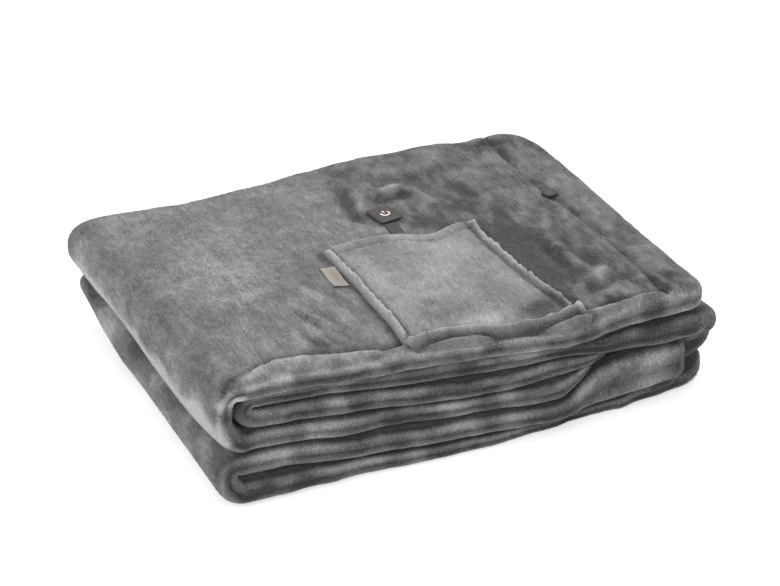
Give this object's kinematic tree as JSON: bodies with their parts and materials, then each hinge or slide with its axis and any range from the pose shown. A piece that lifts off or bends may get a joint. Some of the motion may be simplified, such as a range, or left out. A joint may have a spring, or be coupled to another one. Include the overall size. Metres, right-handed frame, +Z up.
{
  "type": "folded electric heated blanket",
  "caption": "Folded grey plush electric heated blanket: a low stack of thick layers with hemmed edges, a hand pocket, a flat touch control, a tab, a snap and a label.",
  "frame": {"origin": "middle of the bounding box at its bottom, on the surface that the blanket rests on", "axes": "+X along the front edge, from the folded left side to the hemmed right side, +Y from the front edge to the back, +Z up"},
  "size_m": [0.48, 0.3706, 0.1213],
  "materials": {
    "plush": "short-pile plush, matt with a soft sheen",
    "pocket_plush": "lighter short-pile plush, matt",
    "touch_pad": "soft-touch, matt",
    "webbing": "dark woven tape",
    "snap": "satin enamel",
    "ribbon": "smooth satin ribbon"
  },
  "bodies": {
    "root": {"blanket": "plush", "hand_pocket": "pocket_plush", "control_pad": "touch_pad", "control_tab": "webbing", "snap_cap": "snap", "side_label": "ribbon"}
  },
  "joints": []
}
